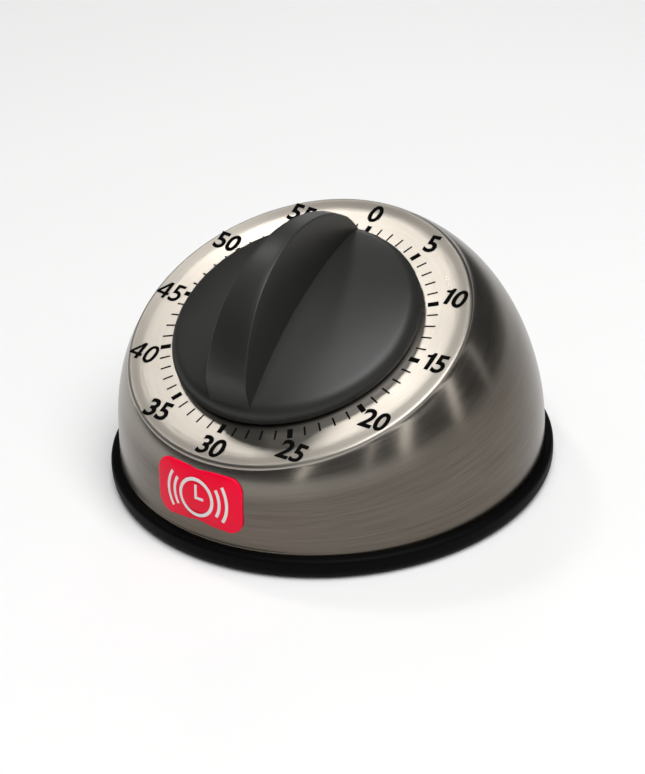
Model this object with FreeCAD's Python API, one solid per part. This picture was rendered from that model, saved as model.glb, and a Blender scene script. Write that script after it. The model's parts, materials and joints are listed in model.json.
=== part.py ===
import FreeCAD, Part
import math
import os

Vec = FreeCAD.Vector
UP = Vec(0, 0, 1)

# Mechanical 60-minute kitchen timer.
# World frame: origin on the table under the middle of the base, +Z up, the user in front at -Y.
# Dial frame: origin at the middle of the dial face, +Z out of the face, +Y towards the zero mark.
# All sizes are millimetres and degrees. Depths in the dial frame are negative.

# Housing and base
DIAL_TILT = 22.4
DIAL_CENTRE = Vec(0, -9.85, 36.42)
SHEET = 0.8
BASE_R = 47.0
RIM_R = 37.8
RIM_DROP = 0.43
RIM_CREST = (36.9, 0.3)
BAND_R = 49.0
BAND_TOP = 4.6
FOOT_INNER_R = 43.0
FOOT_T = 1.0
COVER_T = 1.6
FLANGE_INNER_R = 37.5
COVER_SCREW_RING = 40.5
COVER_SCREW_R = 1.2
COVER_HEAD_R = 2.4
COVER_SCREW_ANGLES = (90, 210, 330)
FLAT_DIAL_R = 35.2
BUSH_R = 3.2

# Shaft, knob and stop
SHAFT_R = 2.0
RUNNING_GAP = 0.05
SHAFT_TOP = 6.8
SHAFT_FLAT = 1.4
KNOB_R = 27.2
KNOB_LOW = 0.6
KNOB_FLOOR_TOP = 8.0
KNOB_FLOOR_SPHERE_R = 85.7
KNOB_CREST = 22.4
KNOB_CREST_SPHERE_R = 29.0
KNOB_WALL = 1.8
KNOB_EDGE_R = 3.4
GRIP_HALF = 3.1
GRIP_TAPER = 0.0755
POINTER_LAG = 1.75
HUB_R = 4.5
HUB_LOW = 0.8
HUB_TOP = 7.6
STOP_R = 14.0
STOP_PIN_R = 0.4
STOP_ARM_HALF = 0.35
STOP_OFFSET = 3.5

# Movement plates
PLATE_R = 30.0
PLATE_SHIFT = 3.0
FRONT_PLATE = (-5.0, -4.0)
BACK_PLATE = (-17.0, -16.0)
PILLAR_RING = 27.5
PILLAR_ANGLES = (60, 160, 235, 305)
PILLAR_R = 1.5
PILLAR_END_R = 0.9
MOUNT_RING = 20.0
MOUNT_ANGLES = (30, 150, 270)
MOUNT_SCREW_R = 1.05

# Gear train: (module, wheel teeth, pinion leaves)
MAIN_MESH = (0.5, 60, 10)
SECOND_MESH = (0.4, 48, 8)
THIRD_MESH = (0.4, 42, 7)
SECOND_AT = 60
THIRD_AT = 0
ESCAPE_AT = -60
PALLET_AT = -100
PALLET_DISTANCE = 7.2
ARBOR_R = 0.9
PIVOT_R = 0.5
# One side of a tooth: (height above the pitch circle in modules, half width in half pitches)
WHEEL_TOOTH = ((-1.15, 0.50), (0.0, 0.42), (0.57, 0.294), (0.95, 0.14))
PINION_LEAF = ((-1.20, 0.30), (0.0, 0.36), (0.36, 0.252), (0.60, 0.16))
MAIN_WHEEL = (-11.8, -10.6)
SECOND_WHEEL = (-14.2, -13.4)
THIRD_WHEEL = (-8.3, -7.5)
SECOND_PINION = (-12.6, -9.8)
THIRD_PINION = (-15.0, -12.8)
ESCAPE_PINION = (-9.0, -6.8)
ESCAPE_WHEEL = (-11.6, -11.0)
ESCAPE_TIP_R = 5.0
PALLET_RING = 5.7
PALLET_SPREAD = 50

# Striker
CAM = (-14.6, -13.6)
CAM_R = 7.0
RELEASE_PIVOT = (-9.3, -10.0)
RELEASE_NOSE = (-7.8, 0.0)
RELEASE_LEG = (-5.5, -8.2)
LEG_R = 0.6
LEG_HOLE_R = 1.6
LEVER_HOLE_R = 1.05
STUD_R = 1.0
STUD_RIVET_R = 0.6
GONG_CENTRE = (0.0, 5.0)
GONG_R = 20.0
GONG_WALL = 1.2
GONG_RIM = -18.6
GONG_END = -26.0
GONG_SCREW_R = 1.2
HAMMER_PIVOT = (4.0, -8.0)
HAMMER_LEVER = (-20.6, -19.6)
HAMMER_RING = 17.0
HAMMER_AT = 210
HAMMER_RIVET_R = 0.6


def polar(radius, angle, centre=(0.0, 0.0)):
    turn = math.radians(angle)
    return centre[0] + radius * math.cos(turn), centre[1] + radius * math.sin(turn)


def disc(radius, span, spot=(0.0, 0.0)):
    low, high = span
    return Part.makeCylinder(radius, high - low, Vec(spot[0], spot[1], low))


def ring(outer, inner, span, spot=(0.0, 0.0)):
    return disc(outer, span, spot).cut(disc(inner, span, spot))


def slab(corners, span):
    low, high = span
    points = [Vec(x, y, low) for x, y in corners]
    face = Part.Face(Part.makePolygon(points + points[:1]))
    return face.extrude(UP * (high - low))


def bar(start, end, half, span):
    """Flat bar with round ends from start to end."""
    along = Vec(end[0] - start[0], end[1] - start[1], 0).normalize()
    side = Vec(-along.y, along.x, 0) * half
    corners = [
        (start[0] + side.x, start[1] + side.y),
        (end[0] + side.x, end[1] + side.y),
        (end[0] - side.x, end[1] - side.y),
        (start[0] - side.x, start[1] - side.y),
    ]
    return slab(corners, span).fuse([disc(half, span, start), disc(half, span, end)]).removeSplitter()


def line(start, end):
    return Part.LineSegment(Vec(start[0], 0, start[1]), Vec(end[0], 0, end[1])).toShape()


def arc(start, middle, end):
    points = [Vec(r, 0, z) for r, z in (start, middle, end)]
    return Part.Arc(*points).toShape()


def turned(edges):
    """Solid turned about Z from a closed outline of radius and height."""
    return Part.Face(Part.Wire(edges)).revolve(Vec(0, 0, 0), UP, 360)


def turned_polygon(points):
    ends = points[1:] + points[:1]
    return turned([line(start, end) for start, end in zip(points, ends)])


def on_dial(shape):
    """Move a shape from the dial frame to the world frame."""
    moved = shape.copy()
    moved.Placement = FreeCAD.Placement(DIAL_CENTRE, FreeCAD.Rotation(Vec(1, 0, 0), DIAL_TILT))
    return moved


# ---- Housing and base ----


def dome(offset):
    """Smooth body lofted through circles that lean over, step by step, to the dial's tilt."""
    lean = DIAL_TILT / 3
    outward = Vec(0, -math.sin(math.radians(DIAL_TILT)), math.cos(math.radians(DIAL_TILT)))
    sections = (
        (0, Vec(0, 0, 5.0), BASE_R),
        (lean, Vec(0, -0.49, 15.03), 46.44),
        (2 * lean, Vec(0, -4.07, 26.83), 43.63),
        (DIAL_TILT, DIAL_CENTRE - outward * RIM_DROP, RIM_R),
    )
    wires = []
    for tilt, centre, radius in sections:
        circle = Part.Wire(Part.makeCircle(radius + offset))
        circle.Placement = FreeCAD.Placement(centre, FreeCAD.Rotation(Vec(1, 0, 0), tilt))
        wires.append(circle)
    return Part.makeLoft(wires, True, False)


def rim_and_dial():
    """Rounded rim, concave cove and flat dial face, turned in the dial frame."""
    joint_out = (RIM_R, -RIM_DROP)
    joint_in = (RIM_R - SHEET, -RIM_DROP)
    cove_end = (FLAT_DIAL_R, 0.0)
    under_end, under_cove = (FLAT_DIAL_R, -SHEET), (36.2, -0.56)
    edges = [
        arc(joint_out, (37.5, 0.12), RIM_CREST),
        arc(RIM_CREST, (36.1, 0.09), cove_end),
        line(cove_end, (BUSH_R, 0.0)),
        line((BUSH_R, 0.0), (BUSH_R, -SHEET)),
        line((BUSH_R, -SHEET), under_end),
        line(under_end, under_cove),
        line(under_cove, joint_in),
        line(joint_in, joint_out),
    ]
    return turned(edges)


def steel_housing():
    shell = dome(0).cut(dome(-SHEET))
    skirt = ring(BASE_R, BASE_R - SHEET, (FOOT_T, 5.0))
    flange_low = FOOT_T + COVER_T
    flange = ring(BASE_R - SHEET, FLANGE_INNER_R, (flange_low, flange_low + SHEET))
    for angle in COVER_SCREW_ANGLES:
        hole = disc(COVER_SCREW_R, (0, 5.0), polar(COVER_SCREW_RING, angle))
        flange = flange.cut(hole)
    face = rim_and_dial()
    for angle in MOUNT_ANGLES:
        face = face.cut(countersunk(polar(MOUNT_RING, angle)))
    return shell.fuse([skirt, flange, on_dial(face)]).removeSplitter()


def rubber_base_ring():
    low_r, top_r = 2.1, 1.0
    outer, inner = BAND_R, BASE_R
    bevel = 1 - math.sqrt(0.5)
    low_middle = (outer - bevel * low_r, bevel * low_r)
    top_middle = (outer - bevel * top_r, BAND_TOP - bevel * top_r)
    edges = [
        line((FOOT_INNER_R, 0), (outer - low_r, 0)),
        arc((outer - low_r, 0), low_middle, (outer, low_r)),
        line((outer, low_r), (outer, BAND_TOP - top_r)),
        arc((outer, BAND_TOP - top_r), top_middle, (outer - top_r, BAND_TOP)),
        line((outer - top_r, BAND_TOP), (inner, BAND_TOP)),
        line((inner, BAND_TOP), (inner, FOOT_T)),
        line((inner, FOOT_T), (FOOT_INNER_R, FOOT_T)),
        line((FOOT_INNER_R, FOOT_T), (FOOT_INNER_R, 0)),
    ]
    return turned(edges)


def base_cover():
    cover = disc(BASE_R - SHEET - 0.1, (FOOT_T, FOOT_T + COVER_T))
    slot_half, slot_inner, slot_outer, slots = 1.0, 17.0, 27.0, 12
    for number in range(slots):
        angle = number * 360 / slots
        cover = cover.cut(bar(polar(slot_inner, angle), polar(slot_outer, angle), slot_half, (0, 5)))
    for angle in COVER_SCREW_ANGLES:
        spot = polar(COVER_SCREW_RING, angle)
        cover = cover.cut(disc(COVER_SCREW_R + 0.1, (0, 5), spot))
        cover = cover.cut(disc(COVER_HEAD_R + 0.2, (0, FOOT_T + COVER_T / 2), spot))
    return cover


def base_screws():
    head = (0.5, FOOT_T + COVER_T / 2)
    slot_half, slot_top = 0.3, 0.9
    screws = []
    for angle in COVER_SCREW_ANGLES:
        spot = polar(COVER_SCREW_RING, angle)
        screw = disc(COVER_HEAD_R, head, spot).fuse(disc(COVER_SCREW_R, (head[1], 5.0), spot))
        start = (spot[0] - COVER_HEAD_R, spot[1])
        end = (spot[0] + COVER_HEAD_R, spot[1])
        screws.append(screw.cut(bar(start, end, slot_half, (0, slot_top))))
    return Part.makeCompound(screws)


def badge_plate():
    """Thin label with round corners that follows the front wall."""
    half_wide, half_high, corner_r, middle = 10.7, 6.2, 3.2, 14.1
    thickness = 0.5
    low, high = -50.0, -40.0
    block = Part.makeBox(2 * half_wide, high - low, 2 * half_high, Vec(-half_wide, low, middle - half_high))
    uprights = [edge for edge in block.Edges if abs(edge.tangentAt(edge.FirstParameter).y) > 0.9]
    label = block.makeFillet(corner_r, uprights)
    return label.common(dome(thickness)).cut(dome(0))


# ---- Knob and shaft, in the dial frame ----


def ball(radius, top):
    return Part.makeSphere(radius, Vec(0, 0, top - radius))


def grip_wedge(inset, low, high):
    """Tapering blade outline: broad at the user's end, narrow at the pointing end."""
    reach = KNOB_R + 1.0 - inset
    broad = GRIP_HALF + GRIP_TAPER * reach - inset
    narrow = GRIP_HALF - GRIP_TAPER * reach - inset
    return slab([(-broad, -reach), (broad, -reach), (narrow, reach), (-narrow, reach)], (low, high))


def knob_core():
    """Hollow underside of the knob: a shallow dish and the inside of the broad part of the blade."""
    dish_r = KNOB_R - KNOB_WALL
    dish = disc(dish_r, (KNOB_LOW, KNOB_FLOOR_TOP)).common(ball(KNOB_FLOOR_SPHERE_R, KNOB_FLOOR_TOP - KNOB_WALL))
    blade = grip_wedge(KNOB_WALL, KNOB_LOW, KNOB_CREST)
    blade = blade.common(ball(KNOB_CREST_SPHERE_R - KNOB_WALL, KNOB_CREST - KNOB_WALL))
    start = -KNOB_R + 2 * KNOB_WALL
    front_half = Part.makeBox(2 * KNOB_R, KNOB_R - KNOB_WALL, KNOB_CREST, Vec(-KNOB_R, start, KNOB_LOW))
    return dish.fuse(blade.common(front_half))


def shaft_shape(span):
    flat = Part.makeBox(SHAFT_R, 2 * SHAFT_R, span[1] - span[0], Vec(SHAFT_FLAT, -SHAFT_R, span[0]))
    return disc(SHAFT_R, span).cut(flat)


def broad_end_slope():
    """Wedge that brings the broad end of the blade down to the knob's round edge."""
    foot_y, foot_z, slope, drop = -25.8, 3.9, 3.0, 3.0
    low, high = foot_z - drop, KNOB_CREST
    corners = [
        Vec(-KNOB_R, foot_y - drop / slope, low),
        Vec(-KNOB_R, foot_y + (high - foot_z) / slope, high),
        Vec(-KNOB_R, -KNOB_R - KNOB_CREST, high),
        Vec(-KNOB_R, -KNOB_R - KNOB_CREST, low),
    ]
    face = Part.Face(Part.makePolygon(corners + corners[:1]))
    return face.extrude(Vec(2 * KNOB_R, 0, 0))


def knob():
    body = disc(KNOB_R, (KNOB_LOW, KNOB_FLOOR_TOP)).common(ball(KNOB_FLOOR_SPHERE_R, KNOB_FLOOR_TOP))
    rim = [edge for edge in body.Edges if edge.BoundBox.ZMin > KNOB_LOW + 1 and edge.BoundBox.XLength > KNOB_R]
    body = body.makeFillet(KNOB_EDGE_R, rim)
    blade = grip_wedge(0, KNOB_LOW, KNOB_CREST + 1)
    blade = blade.common(ball(KNOB_CREST_SPHERE_R, KNOB_CREST))
    blade = blade.common(disc(KNOB_R - 0.6, (KNOB_LOW + 1, KNOB_CREST + 1))).cut(broad_end_slope())
    shell = body.fuse(blade).cut(knob_core())
    socket = shaft_shape((HUB_LOW, SHAFT_TOP + 0.2))
    whole = shell.fuse(disc(HUB_R, (HUB_LOW, HUB_TOP))).cut(socket).removeSplitter()
    whole.rotate(Vec(0, 0, 0), UP, POINTER_LAG)
    return whole


def knob_clip():
    """Split spring ring that squeezes the hub on the shaft."""
    span = (2.0, 3.0)
    gap = Part.makeBox(4.0, 2.0, 2.0, Vec(HUB_R - 1, -1.0, 1.5))
    return ring(HUB_R + 0.6, HUB_R, span).cut(gap)


def dial_bush():
    flange_r, flange_top, tail = 5.0, 0.4, -1.4
    body = disc(BUSH_R, (tail, 0)).fuse(disc(flange_r, (0, flange_top)))
    return body.cut(disc(SHAFT_R + RUNNING_GAP, (tail, flange_top))).removeSplitter()


def main_arbor():
    upper = shaft_shape((HUB_LOW, SHAFT_TOP))
    middle = disc(SHAFT_R, (BACK_PLATE[1] + 0.2, HUB_LOW))
    pivot = disc(SHAFT_R - 0.6, (BACK_PLATE[0] - 0.4, BACK_PLATE[1] + 0.2))
    return upper.fuse([middle, pivot]).removeSplitter()


def stop_arm():
    span = (-3.4, -2.6)
    arm = bar((0, 0), (0, STOP_R + 0.6), STOP_ARM_HALF, span)
    return arm.fuse(disc(SHAFT_R + 1.4, span)).cut(disc(SHAFT_R, span)).removeSplitter()


def stop_pin():
    spot = polar(STOP_R, 90 + STOP_OFFSET)
    return disc(STOP_PIN_R, (FRONT_PLATE[0], -2.4), spot)


# ---- Movement frame ----


def second_spot():
    module, wheel, pinion = MAIN_MESH
    return polar(module * (wheel + pinion) / 2, SECOND_AT)


def third_spot():
    module, wheel, pinion = SECOND_MESH
    return polar(module * (wheel + pinion) / 2, THIRD_AT, second_spot())


def escape_spot():
    module, wheel, pinion = THIRD_MESH
    return polar(module * (wheel + pinion) / 2, ESCAPE_AT, third_spot())


def pallet_spot():
    return polar(PALLET_DISTANCE, PALLET_AT, escape_spot())


def pillar_spots():
    return [polar(PILLAR_RING, angle, (0, PLATE_SHIFT)) for angle in PILLAR_ANGLES]


def spring_post_spot():
    return polar(14.35, 200)


def pierced_plate(span, shaft_hole_r):
    plate = disc(PLATE_R, span, (0, PLATE_SHIFT)).cut(disc(shaft_hole_r, span))
    for spot in (second_spot(), third_spot(), escape_spot(), pallet_spot()):
        plate = plate.cut(disc(PIVOT_R + RUNNING_GAP, span, spot))
    for spot in pillar_spots():
        plate = plate.cut(disc(PILLAR_END_R, span, spot))
    return plate


def front_plate():
    plate = pierced_plate(FRONT_PLATE, SHAFT_R + RUNNING_GAP)
    for angle in MOUNT_ANGLES:
        plate = plate.cut(disc(MOUNT_SCREW_R, FRONT_PLATE, polar(MOUNT_RING, angle)))
    plate = plate.cut(disc(STOP_PIN_R, FRONT_PLATE, polar(STOP_R, 90 + STOP_OFFSET)))
    return plate.cut(disc(STUD_RIVET_R, FRONT_PLATE, spring_post_spot()))


def back_plate():
    plate = pierced_plate(BACK_PLATE, SHAFT_R - 0.6 + RUNNING_GAP)
    for spot in (RELEASE_PIVOT, HAMMER_PIVOT, GONG_CENTRE):
        plate = plate.cut(disc(STUD_RIVET_R, BACK_PLATE, spot))
    return plate.cut(disc(LEG_HOLE_R, BACK_PLATE, RELEASE_LEG))


def plate_pillars():
    pillars = []
    for spot in pillar_spots():
        body = disc(PILLAR_R, (BACK_PLATE[1], FRONT_PLATE[0]), spot)
        front_end = disc(PILLAR_END_R, FRONT_PLATE, spot)
        back_end = disc(PILLAR_END_R, (BACK_PLATE[0] - 2.2, BACK_PLATE[1]), spot)
        pillars.append(body.fuse([front_end, back_end]).removeSplitter())
    return Part.makeCompound(pillars)


def hexagon(radius, span, spot):
    return slab([polar(radius, 60 * corner, spot) for corner in range(6)], span)


def pillar_nuts():
    span = (BACK_PLATE[0] - 1.6, BACK_PLATE[0])
    nuts = [hexagon(2.3, span, spot).cut(disc(PILLAR_END_R, span, spot)) for spot in pillar_spots()]
    return Part.makeCompound(nuts)


def countersunk(spot):
    """Countersunk screw that hangs the movement from the dial face, head flush with the face."""
    head_r, end = 1.9, FRONT_PLATE[0] - 0.6
    outline = [(0, end), (MOUNT_SCREW_R, end), (MOUNT_SCREW_R, -SHEET), (head_r, 0), (0, 0)]
    screw = turned_polygon(outline)
    screw.translate(Vec(spot[0], spot[1], 0))
    return screw


def movement_screws():
    slot_half, slot_low, reach = 0.25, -0.4, 2.0
    screws = []
    for angle in MOUNT_ANGLES:
        x, y = polar(MOUNT_RING, angle)
        slot = bar((x - reach, y), (x + reach, y), slot_half, (slot_low, 1.0))
        screws.append(countersunk((x, y)).cut(slot))
    return Part.makeCompound(screws)


def movement_spacers():
    spots = [polar(MOUNT_RING, angle) for angle in MOUNT_ANGLES]
    span = (FRONT_PLATE[1], -SHEET)
    return Part.makeCompound([ring(2.2, MOUNT_SCREW_R, span, spot) for spot in spots])


# ---- Gear train ----


def toothed(module, teeth, side, span, spot, phase):
    """Blank with straight-sided teeth. One tooth is centred on the phase angle."""
    pitch_r = module * teeth / 2
    half_pitch = 180 / teeth
    corners = []
    for number in range(teeth):
        middle = phase + number * 2 * half_pitch
        for height, width in side:
            corners.append(polar(pitch_r + height * module, middle - width * half_pitch, spot))
        for height, width in reversed(side):
            corners.append(polar(pitch_r + height * module, middle + width * half_pitch, spot))
    return slab(corners, span)


def spoked_wheel(mesh, span, spot, phase, bore):
    """Wheel with round windows between its hub and its toothed rim."""
    module, teeth = mesh[:2]
    wheel = toothed(module, teeth, WHEEL_TOOTH, span, spot, phase).cut(disc(bore, span, spot))
    pitch_r = module * teeth / 2
    windows, window_r, window_ring = 5, pitch_r * 0.23, pitch_r * 0.6
    for number in range(windows):
        wheel = wheel.cut(disc(window_r, span, polar(window_ring, number * 360 / windows, spot)))
    return wheel


def pinion_arbor(mesh, span, spot, phase):
    """Arbor with pivots that run in both plates and a pinion cut on it."""
    module, leaves = mesh[0], mesh[2]
    pinion = toothed(module, leaves, PINION_LEAF, span, spot, phase + 180 + 180 / leaves)
    return plain_arbor(spot).fuse(pinion).removeSplitter()


def plain_arbor(spot):
    end_shake = 0.2
    body = disc(ARBOR_R, (BACK_PLATE[1] + end_shake, FRONT_PLATE[0] - end_shake), spot)
    pivots = disc(PIVOT_R, (BACK_PLATE[0] + end_shake, FRONT_PLATE[1] - end_shake), spot)
    return body.fuse(pivots).removeSplitter()


def main_wheel():
    return spoked_wheel(MAIN_MESH, MAIN_WHEEL, (0, 0), SECOND_AT, SHAFT_R)


def second_arbor():
    return pinion_arbor(MAIN_MESH, SECOND_PINION, second_spot(), SECOND_AT)


def second_wheel():
    return spoked_wheel(SECOND_MESH, SECOND_WHEEL, second_spot(), THIRD_AT, ARBOR_R)


def third_arbor():
    return pinion_arbor(SECOND_MESH, THIRD_PINION, third_spot(), THIRD_AT)


def third_wheel():
    return spoked_wheel(THIRD_MESH, THIRD_WHEEL, third_spot(), ESCAPE_AT, ARBOR_R)


def escape_arbor():
    return pinion_arbor(THIRD_MESH, ESCAPE_PINION, escape_spot(), ESCAPE_AT)


def escape_wheel():
    """Wheel with leaning saw teeth."""
    teeth, root_r = 20, 3.8
    pitch = 360 / teeth
    corners = []
    for number in range(teeth):
        start = number * pitch
        corners.append(polar(root_r, start, escape_spot()))
        corners.append(polar(ESCAPE_TIP_R, start + 0.75 * pitch, escape_spot()))
        corners.append(polar(ESCAPE_TIP_R, start + 0.85 * pitch, escape_spot()))
    return slab(corners, ESCAPE_WHEEL).cut(disc(ARBOR_R, ESCAPE_WHEEL, escape_spot()))


def pallet_arbor():
    return plain_arbor(pallet_spot())


def pallet_lever():
    """Two-armed anchor under the escape wheel with an upright pin on each arm."""
    arms = (-12.8, -12.0)
    pin_r, pin_top = 0.3, -10.8
    lever = disc(1.8, arms, pallet_spot())
    for side in (-PALLET_SPREAD, PALLET_SPREAD):
        tip = polar(PALLET_RING, PALLET_AT + side, escape_spot())
        lever = lever.fuse(bar(pallet_spot(), tip, 0.5, arms))
        lever = lever.fuse(disc(pin_r, (arms[0], pin_top), tip))
    return lever.cut(disc(ARBOR_R, arms, pallet_spot())).removeSplitter()


def balance_weight():
    span = (-14.6, -13.4)
    reach, weight_r = 4.6, 1.7
    ends = [polar(side * reach, PALLET_AT + 90, pallet_spot()) for side in (-1, 1)]
    weight = bar(ends[0], ends[1], 0.9, span).fuse([disc(weight_r, span, end) for end in ends])
    weight = weight.fuse(disc(1.8, span, pallet_spot()))
    return weight.cut(disc(ARBOR_R, span, pallet_spot())).removeSplitter()


def mainspring():
    """Flat spiral spring, from beside the shaft out to its post."""
    inner_r, outer_r, half, turns, steps = 2.4, 13.25, 0.15, 6, 16
    span = (-9.8, -5.8)
    count = turns * steps
    sides = []
    for offset in (-half, half):
        points = []
        for number in range(count + 1):
            radius = inner_r + (outer_r - inner_r) * number / count + offset
            x, y = polar(radius, 200 + number * 360 / steps)
            points.append(Vec(x, y, span[0]))
        curve = Part.BSplineCurve()
        curve.interpolate(points)
        sides.append(curve)
    inner, outer = sides
    ends = [
        Part.LineSegment(inner.StartPoint, outer.StartPoint).toShape(),
        Part.LineSegment(inner.EndPoint, outer.EndPoint).toShape(),
    ]
    wire = Part.Wire(Part.__sortEdges__([inner.toShape(), outer.toShape()] + ends))
    return Part.Face(wire).extrude(UP * (span[1] - span[0]))


def spring_post():
    spot = spring_post_spot()
    return disc(0.9, (-10.2, FRONT_PLATE[0]), spot).fuse(disc(STUD_RIVET_R, FRONT_PLATE, spot)).removeSplitter()


def clutch_spring():
    """Three-armed spring washer that presses the main wheel on its collar."""
    span = (MAIN_WHEEL[1], MAIN_WHEEL[1] + 0.3)
    washer = disc(3.4, span)
    for angle in (0, 120, 240):
        washer = washer.fuse(bar((0, 0), polar(7.0, angle), 1.0, span))
    return washer.cut(disc(SHAFT_R, span)).removeSplitter()


def clutch_clip():
    span = (MAIN_WHEEL[1] + 0.3, MAIN_WHEEL[1] + 0.7)
    gap = Part.makeBox(4.0, 1.6, 1.0, Vec(0, -0.8, span[0] - 0.2))
    return ring(SHAFT_R + 1.2, SHAFT_R, span).cut(gap)


def arbor_collar():
    return ring(SHAFT_R + 2.0, SHAFT_R, (MAIN_WHEEL[0] - 0.8, MAIN_WHEEL[0]))


# ---- Striker ----


def release_cam():
    notch_depth, notch_half = 1.2, 1.1
    notch = Part.makeBox(notch_depth + 1, 2 * notch_half, 2.0, Vec(-CAM_R - 1, -notch_half, CAM[0] - 0.5))
    return ring(CAM_R, SHAFT_R, CAM).cut(notch)


def release_lever():
    """Lever with a nose at the cam and a leg that reaches down beside the hammer."""
    leg_end = -20.4
    lever = disc(2.0, CAM, RELEASE_PIVOT).fuse(bar(RELEASE_PIVOT, RELEASE_NOSE, 0.6, CAM))
    lever = lever.fuse(bar(RELEASE_PIVOT, RELEASE_LEG, 0.8, CAM))
    lever = lever.fuse(disc(LEG_R, (leg_end, CAM[1]), RELEASE_LEG))
    return lever.cut(disc(LEVER_HOLE_R, CAM, RELEASE_PIVOT)).removeSplitter()


def release_stud():
    spot = RELEASE_PIVOT
    shoulder = disc(1.6, (BACK_PLATE[1], CAM[0] - 0.2), spot)
    pivot = disc(STUD_R, (CAM[0] - 0.2, CAM[1] + 0.2), spot)
    head = disc(1.6, (CAM[1] + 0.2, CAM[1] + 0.6), spot)
    return shoulder.fuse([pivot, head, disc(STUD_RIVET_R, BACK_PLATE, spot)]).removeSplitter()


def hammer_spot():
    return polar(HAMMER_RING, HAMMER_AT, GONG_CENTRE)


def hammer_lever():
    lever = bar(HAMMER_PIVOT, hammer_spot(), 1.1, HAMMER_LEVER).fuse(disc(2.2, HAMMER_LEVER, HAMMER_PIVOT))
    lever = lever.cut(disc(LEVER_HOLE_R, HAMMER_LEVER, HAMMER_PIVOT))
    return lever.cut(disc(HAMMER_RIVET_R, HAMMER_LEVER, hammer_spot())).removeSplitter()


def hammer_head():
    striker = disc(1.5, (HAMMER_LEVER[0] - 2.4, HAMMER_LEVER[0]), hammer_spot())
    return striker.fuse(disc(HAMMER_RIVET_R, HAMMER_LEVER, hammer_spot())).removeSplitter()


def hammer_stud():
    spot = HAMMER_PIVOT
    low, high = HAMMER_LEVER
    shoulder = disc(1.8, (high + 0.2, BACK_PLATE[0]), spot)
    pivot = disc(STUD_R, (low - 0.2, high + 0.2), spot)
    head = disc(1.7, (low - 0.7, low - 0.2), spot)
    return shoulder.fuse([pivot, head, disc(STUD_RIVET_R, BACK_PLATE, spot)]).removeSplitter()


def hammer_spring():
    """Leaf spring that rests against the hammer lever's inner side."""
    fixed_end, free_end, half = (1.0, -3.2), (-9.0, -3.5), 0.15
    leaf = bar(fixed_end, free_end, half, (-20.8, -19.4))
    tab = bar(fixed_end, (3.0, -3.2), half, (-20.8, BACK_PLATE[0]))
    return leaf.fuse(tab).removeSplitter()


def gong():
    """Turned steel cup bell, its rim towards the back plate."""
    outer_bend, end, rim = 4.0, GONG_END, GONG_RIM
    inner_bend = outer_bend - GONG_WALL
    inner_r = GONG_R - GONG_WALL
    bend_r = GONG_R - outer_bend
    bend_z = end + outer_bend
    far = math.sqrt(0.5)
    outer_mid = (bend_r + outer_bend * far, bend_z - outer_bend * far)
    inner_mid = (bend_r + inner_bend * far, bend_z - inner_bend * far)
    inside = end + GONG_WALL
    edges = [
        line((0, end), (bend_r, end)),
        arc((bend_r, end), outer_mid, (GONG_R, bend_z)),
        line((GONG_R, bend_z), (GONG_R, rim)),
        line((GONG_R, rim), (inner_r, rim)),
        line((inner_r, rim), (inner_r, bend_z)),
        arc((inner_r, bend_z), inner_mid, (bend_r, inside)),
        line((bend_r, inside), (0, inside)),
        line((0, inside), (0, end)),
    ]
    cup = turned(edges)
    cup.translate(Vec(GONG_CENTRE[0], GONG_CENTRE[1], 0))
    return cup.cut(disc(GONG_SCREW_R + 0.3, (end, inside), GONG_CENTRE))


def gong_stud():
    foot = GONG_END + GONG_WALL
    post = disc(2.5, (foot, BACK_PLATE[0]), GONG_CENTRE).cut(disc(GONG_SCREW_R, (foot, foot + 4.6), GONG_CENTRE))
    return post.fuse(disc(STUD_RIVET_R, BACK_PLATE, GONG_CENTRE)).removeSplitter()


def gong_screw():
    head = (GONG_END - 1.6, GONG_END)
    x, y = GONG_CENTRE
    slot = bar((x - 3, y), (x + 3, y), 0.35, (head[0] - 1, head[0] + 0.7))
    shank = disc(GONG_SCREW_R, (GONG_END, GONG_END + GONG_WALL + 4.4), GONG_CENTRE)
    return disc(2.6, head, GONG_CENTRE).cut(slot).fuse(shank).removeSplitter()


CASE_PARTS = (steel_housing, rubber_base_ring, base_cover, base_screws, badge_plate)
DIAL_PARTS = (
    knob, knob_clip, dial_bush, main_arbor, stop_arm, stop_pin, front_plate, back_plate,
    plate_pillars, pillar_nuts, movement_screws, movement_spacers, main_wheel, second_arbor,
    second_wheel, third_arbor, third_wheel, escape_arbor, escape_wheel, pallet_arbor,
    pallet_lever, balance_weight, mainspring, spring_post, clutch_spring, clutch_clip,
    arbor_collar, release_cam, release_lever, release_stud, hammer_lever, hammer_head,
    hammer_stud, hammer_spring, gong, gong_stud, gong_screw,
)


def main():
    os.makedirs("parts", exist_ok=True)
    for build in CASE_PARTS:
        build().exportStep(f"parts/{build.__name__}.step")
    for build in DIAL_PARTS:
        on_dial(build()).exportStep(f"parts/{build.__name__}.step")


main()
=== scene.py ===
import json
import math

import bmesh
import bpy
from mathutils import Matrix, Vector
from mathutils.bvhtree import BVHTree


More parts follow.
